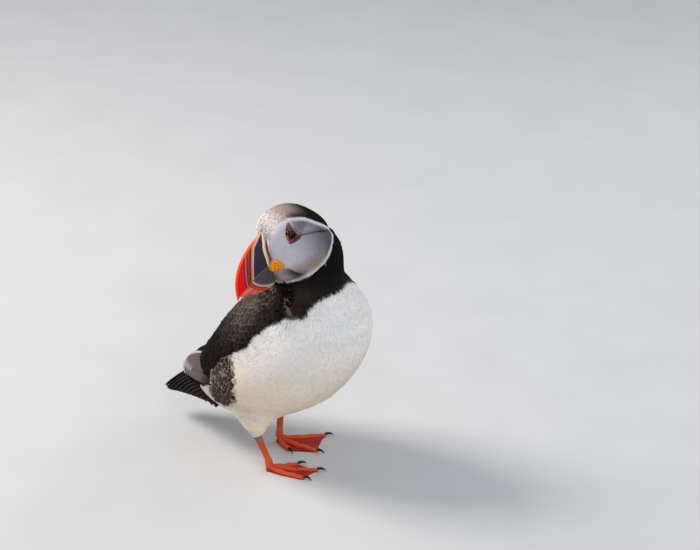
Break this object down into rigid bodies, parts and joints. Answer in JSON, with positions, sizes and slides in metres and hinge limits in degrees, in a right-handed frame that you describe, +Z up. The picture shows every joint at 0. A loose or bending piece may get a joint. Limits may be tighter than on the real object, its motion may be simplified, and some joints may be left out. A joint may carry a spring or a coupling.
{
  "type": "atlantic puffin",
  "caption": "Life-size standing Atlantic puffin with its head turned to its right: deep banded bill, pale face, dark back, white belly and webbed feet.",
  "frame": {"origin": "middle of the whole bird's bounding box, on the floor under its feet", "axes": "+Z up, -Y the way the trunk faces, +X to the bird's left"},
  "size_m": [0.1012, 0.173, 0.2022],
  "materials": {
    "plumage_black": "black-brown feathers",
    "plumage_brown": "worn brown-black wing feathers",
    "plumage_white": "white feathers",
    "plumage_face": "short pale grey face feathers",
    "bill_red": "glossy grooved horn",
    "bill_slate": "satin slate-grey horn",
    "bill_cream": "matte pitted cream ridge",
    "rosette_orange": "wrinkled orange-yellow skin",
    "leg_orange": "scaled orange-red skin",
    "claw_black": "polished black horn",
    "eye_dark": "wet dark eye",
    "eye_ring_red": "red orbital skin",
    "horn_grey": "blue-grey horny plate"
  },
  "bodies": {
    "root": {"bill_lower": "bill_slate", "bill_ridge": "bill_cream", "bill_upper": "bill_red", "claw_inner_left": "claw_black", "claw_inner_right": "claw_black", "claw_middle_left": "claw_black", "claw_middle_right": "claw_black", "claw_outer_left": "claw_black", "claw_outer_right": "claw_black", "eye_bar_left": "horn_grey", "eye_bar_right": "horn_grey", "eye_horn_left": "horn_grey", "eye_horn_right": "horn_grey", "eye_left": "eye_dark", "eye_right": "eye_dark", "eye_ring_left": "eye_ring_red", "eye_ring_right": "eye_ring_red", "foot_left": "leg_orange", "foot_right": "leg_orange", "head": "plumage_face", "neck": "plumage_black", "primaries_left": "plumage_brown", "primaries_right": "plumage_brown", "rosette_left": "rosette_orange", "rosette_right": "rosette_orange", "tail": "plumage_black", "tarsus_left": "leg_orange", "tarsus_right": "leg_orange", "thigh_left": "plumage_white", "thigh_right": "plumage_white", "trunk": "plumage_white", "wing_left": "plumage_brown", "wing_right": "plumage_brown"}
  },
  "joints": []
}
